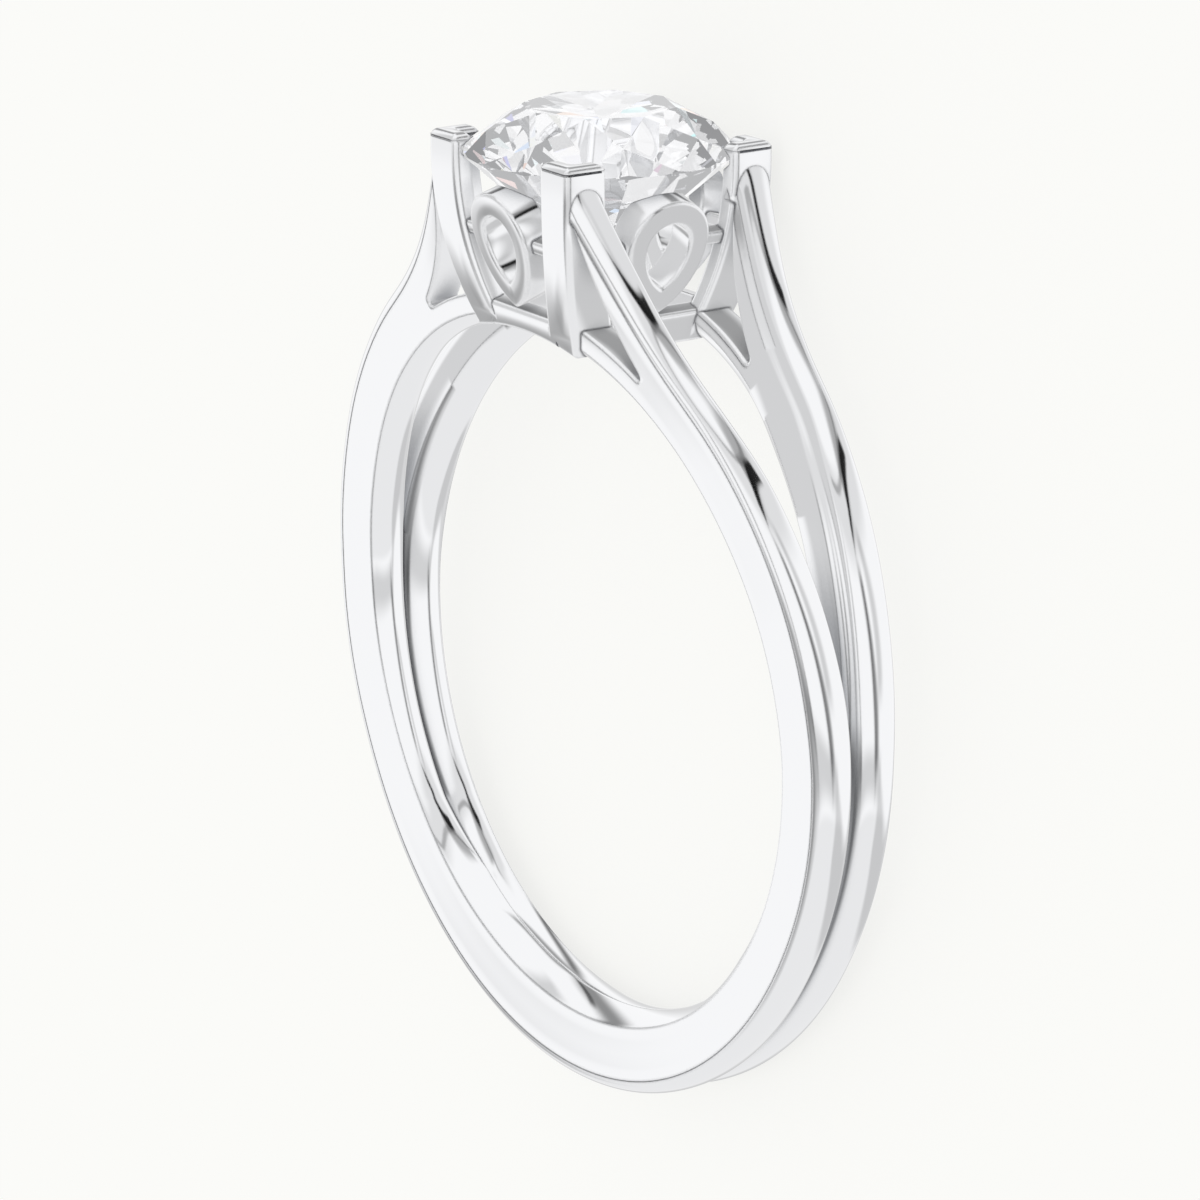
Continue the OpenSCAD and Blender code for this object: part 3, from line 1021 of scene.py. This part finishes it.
@dataclass(frozen=True)
class ClearStone:
    """Polished diamond, with painted light: a faint glow of its own that lifts its darkest facets."""

    ior: float = 2.417
    tint: tuple[float, float, float, float] = (0.99, 0.99, 1.0, 1.0)
    painted_glow: tuple[float, float, float, float] = (0.96, 0.97, 1.0, 1.0)
    painted_glow_strength: float = 0.045

    def material(self) -> bpy.types.Material:
        """Builds the node material."""
        made = bpy.data.materials.new("diamond_clear")
        made.use_nodes = True
        inputs = made.node_tree.nodes["Principled BSDF"].inputs
        inputs["Base Color"].default_value = self.tint
        inputs["Roughness"].default_value = 0.0
        inputs["IOR"].default_value = self.ior
        inputs["Transmission Weight"].default_value = 1.0
        # painted light: a faint glow, though the stone is no lamp, that lifts its darkest facets
        inputs["Emission Color"].default_value = self.painted_glow
        inputs["Emission Strength"].default_value = self.painted_glow_strength
        tree = Nodes(made.node_tree)
        tree.feed(inputs["Alpha"], self.cover(tree))
        return made

    def cover(self, tree: Nodes) -> Socket:
        """Gives 0 for the metal's mirror rays, which go through the stone, and 1 for all others."""
        path = tree.add("LightPath", {}).outputs
        outside = tree.math("SUBTRACT", 1.0, tree.add("NewGeometry", {}).outputs["Backfacing"])
        passed = tree.math("GREATER_THAN", path["Transparent Depth"], 0.5)
        either = tree.math("MAXIMUM", outside, passed)
        return tree.math("SUBTRACT", 1.0, tree.math("MULTIPLY", path["Is Glossy Ray"], either))


def dress(piece: bpy.types.Object, node: str, material: bpy.types.Material) -> None:
    """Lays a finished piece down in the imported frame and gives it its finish.

    Args:
        piece: the piece, in the ring's own frame.
        node: the CAD node that it stands for.
        material: its material.
    """
    piece.data.transform(POSE.matrix())
    piece.data.update()
    take(piece)
    piece.data.materials.clear()
    piece.data.materials.append(material)
    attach(piece, "root")
    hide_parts(node)
    log.info("%s: %d faces", piece.name, len(piece.data.polygons))


@dataclass(frozen=True)
class Viewpoint:
    """The photograph's camera, in the ring's own frame."""

    place: tuple[float, float, float] = (88.51, -60.22, 34.50)
    target: tuple[float, float, float] = (0.0, 0.0, 1.538)
    lens: float = 144.47
    sensor: float = 36.0
    near: float = 0.001
    far: float = 10.0

    def build(self) -> bpy.types.Object:
        """Makes the camera and hands it to the scene."""
        data = bpy.data.cameras.new("viewpoint")
        data.lens = self.lens
        data.sensor_width = self.sensor
        data.clip_start = self.near
        data.clip_end = self.far
        camera = bpy.data.objects.new("viewpoint", data)
        bpy.context.scene.collection.objects.link(camera)
        lay = POSE.matrix()
        eye = lay @ Vector(self.place)
        target = lay @ Vector(self.target)
        up = (lay @ Vector((0, 0, 1)) - lay @ Vector((0, 0, 0))).normalized()
        back = (eye - target).normalized()
        right = up.cross(back).normalized()
        true_up = back.cross(right)
        camera.matrix_world = Matrix(
            (
                (right.x, true_up.x, back.x, eye.x),
                (right.y, true_up.y, back.y, eye.y),
                (right.z, true_up.z, back.z, eye.z),
                (0, 0, 0, 1),
            )
        )
        bpy.context.scene.camera = camera
        return camera


@dataclass(frozen=True)
class Studio:
    """Pale floor, which gives most of its light itself, and soft light."""

    floor_side: float = 1.2
    floor_colour: tuple[float, float, float, float] = (0.2, 0.2, 0.197, 1.0)
    floor_light: float = 0.81

    def floor(self) -> bpy.types.Object:
        """Makes the floor."""
        deselect_all()
        bpy.ops.mesh.primitive_plane_add(size=self.floor_side, location=(0, 0, 0))
        piece = bpy.context.object
        piece.name = "floor"
        made = bpy.data.materials.new("floor_pale")
        made.use_nodes = True
        inputs = made.node_tree.nodes["Principled BSDF"].inputs
        inputs["Base Color"].default_value = self.floor_colour
        inputs["Emission Color"].default_value = PALE
        inputs["Emission Strength"].default_value = self.floor_light
        inputs["Roughness"].default_value = 1.0
        inputs["Specular IOR Level"].default_value = 0.0
        piece.data.materials.append(made)
        piece.visible_glossy = False
        piece.visible_transmission = False
        return piece

    def world(self) -> None:
        """Sets the light that comes from all round: large soft boxes with dark gaps between."""
        scene = bpy.context.scene
        scene.view_settings.view_transform = "Standard"
        world = bpy.data.worlds.new("studio")
        scene.world = world
        world.use_nodes = True
        world.cycles.sampling_method = "NONE"
        Surround(world.node_tree).build()


@dataclass(frozen=True)
class Patch:
    """A dark gap between two soft boxes, seen from the ring as a bowed band.

    The band runs along the azimuth, or along the elevation where upright is set, and all of
    its places are degrees about the finger hole's middle, with the ring standing up. Its middle
    is at az and el, length and half are half its length and width, soft is how wide its edges
    are, and shade is how much of the light it takes.
    """

    az: float
    el: float
    length: float
    bow: float
    slant: float
    half: float
    soft: float
    shade: float
    upright: bool = False


class Surround(Nodes):
    """Builds the studio's light as shader nodes that read the direction alone.

    The metal sees the long list of gaps, and the stone a plainer surround with the few of the
    arch, moved a little for red and for blue, as a prism does.
    """

    UPPER = 1.02
    LOWER = 0.89
    LOW_FROM = -29.9
    LOW_TO = -25.9
    STONE_UPPER = 1.08
    STONE_LOWER = 0.98
    STONE_LIGHT = 0.76
    SPLIT = 4.0
    FADE = 5.0
    ARCH = (
        Patch(-20, 43.5, 24, 0.0046, 0.46, 3.0, 4.0, 0.62),
        Patch(44, 55.2, 44, 0.0040, -0.11, 3.0, 5.0, 0.38),
        Patch(-1.3, 6, 28, 0.0, -0.55, 2.0, 6.0, 0.35, True),
        Patch(-72.1, 5, 25, 0.0, -0.42, 1.5, 3.5, 0.40, True),
    )
    PATCHES = (
        Patch(-6, 48, 111, 0.002, 0.0, 5.0, 12.0, 0.21),
        Patch(42, 58, 47, 0.005, -0.07, 1.5, 12.0, 0.55),
        Patch(25, 52.5, 44, 0.0057, 0.0, 2.2, 2.4, 0.97),
        Patch(5, 58, 95, 0.0025, 0.0, 0.5, 2.0, 0.45),
        Patch(8, 9, 26, 0.0127, -0.54, 1.5, 12.0, 0.75, True),
        Patch(29, 20, 21, 0.02, -0.37, 1.5, 12.0, 0.33, True),
        Patch(5, 5, 28, 0.0, -0.3, 0.8, 2.5, 0.45, True),
        Patch(-47, -18, 78, 0.0013, 0.07, 1.5, 8.0, 0.31),
        Patch(-104, -18, 30, 0.0033, 0.16, 0.0, 10.0, 0.68),
        Patch(78, -39, 49, -0.008, 0.15, 7.0, 6.0, 0.29),
        Patch(166, 30, 23, 0.019, -0.37, 1.5, 12.0, 0.71),
        Patch(157, 36, 15, 0.006, 0.0, 0.6, 2.0, 0.70),
        Patch(129, 14, 15, -0.0074, 0.45, 0.0, 8.0, 0.79, True),
        Patch(128, 46, 14, -0.02, -0.88, 5.0, 12.0, 0.64),
        Patch(-168, -29, 13, 0.01, -0.21, 1.0, 9.0, 0.50),
        Patch(-155, -29, 3, 0.0, 0.3, 1.2, 2.6, 0.35),
        Patch(-137, 23, 33, 0.0114, -0.28, 14.0, 12.0, 0.31, True),
        Patch(-87, 1, 11, 0.02, -1.46, 0.0, 12.0, 0.73),
        Patch(-118, -5, 18, 0.0, 0.0, 0.8, 2.5, 0.50, True),
    )

    def wrapped(self, angle: Socket) -> Socket:
        """Brings an angle between -180 and 180 degrees."""
        return self.math("WRAP", angle, 180.0, -180.0)

    def patch(self, patch: Patch) -> Socket:
        """Gives how much light one patch leaves, 1 outside it."""
        if patch.upright:
            offset = self.math("SUBTRACT", self.el, patch.el)
            other = self.wrapped(self.math("SUBTRACT", self.az, patch.az))
        else:
            offset = self.wrapped(self.math("SUBTRACT", self.az, patch.az))
            other = self.math("SUBTRACT", self.el, patch.el)
        bowed = self.math("MULTIPLY_ADD", self.math("MULTIPLY", offset, offset), patch.bow, other)
        away = self.math("MULTIPLY_ADD", offset, -patch.slant, bowed)
        if patch.upright:
            away = self.wrapped(away)
        near = self.step(self.math("ABSOLUTE", away), patch.half + patch.soft, patch.half)
        ends = (patch.length + self.FADE, patch.length - self.FADE)
        inside = self.step(self.math("ABSOLUTE", offset), *ends)
        dark = self.math("MULTIPLY", near, inside)
        return self.math("MULTIPLY_ADD", dark, -patch.shade, 1.0)

    def strength(self, patches: tuple[Patch, ...], upper: float, lower: float, shift: float) -> Socket:
        """Gives how bright the surround is in the read direction.

        Args:
            patches: the gaps between the soft boxes.
            upper: how bright the boxes round the ring and above it are.
            lower: how bright the part below the ring is.
            shift: degrees by which the elevation is off, as one colour's is in a prism.

        Returns:
            The strength, about 1 in a soft box.
        """
        self.el = self.math("ADD", self.level, shift)
        low = self.step(self.el, self.LOW_FROM, self.LOW_TO)
        light = self.math("MULTIPLY_ADD", low, upper - lower, lower)
        for patch in patches:
            light = self.math("MULTIPLY", light, self.patch(patch))
        return light

    def source(self, colour: object, strength: object) -> Socket:
        """Adds a background of a colour and strength, each a socket or a value."""
        return self.add("Background", {}, Color=colour, Strength=strength).outputs["Background"]

    def choose(self, share: Socket, first: Socket, second: Socket) -> Socket:
        """Adds a mix of two backgrounds."""
        return self.fill(self.add("MixShader", {}), share, first, second).outputs["Shader"]

    def build(self) -> None:
        """Adds the nodes and links them to the world's output."""
        direction = self.add("TexCoord", {}).outputs["Generated"]
        turn = POSE.matrix().to_3x3().normalized()
        x, y, z = (self.dot(direction, turn.col[i]) for i in range(3))
        degree = 180 / math.pi
        self.az = self.math("MULTIPLY", self.math("ARCTAN2", y, x), degree)
        self.level = self.math("MULTIPLY", self.math("ARCSINE", z), degree)
        metal = self.source(WHITE, self.strength(self.PATCHES, self.UPPER, self.LOWER, 0.0))
        colours = self.add("CombineColor", {})
        for socket, shift in zip(colours.inputs, (-self.SPLIT, 0.0, self.SPLIT)):
            self.feed(socket, self.strength(self.ARCH, self.STONE_UPPER, self.STONE_LOWER, shift))
        stone = self.source(colours.outputs["Color"], self.STONE_LIGHT)
        plain = self.source(PALE, 1.0)
        path = self.add("LightPath", {}).outputs
        even = self.math("MAXIMUM", path["Is Camera Ray"], path["Is Diffuse Ray"])
        rich = self.choose(path["Is Transmission Ray"], metal, stone)
        output = self.tree.nodes["World Output"].inputs["Surface"]
        self.feed(output, self.choose(even, rich, plain))


def main() -> None:
    """Builds the ring, its finishes, the studio and the camera."""
    logging.basicConfig(level=logging.INFO, format="%(message)s")
    prong = Prong()
    stone = Brilliant()
    band = Band()
    casting = Casting(band, Windows(band), prong, Loop(), BaseBar(prong), stone).build()
    take(casting)
    bpy.ops.object.shade_smooth_by_angle(angle=math.radians(32))
    dress(casting, "ring_mount", PolishedGold().material())
    dress(stone.build(), "diamond", ClearStone().material())
    studio = Studio()
    studio.floor()
    studio.world()
    Viewpoint().build()
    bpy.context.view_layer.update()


if __name__ == "__main__":
    main()
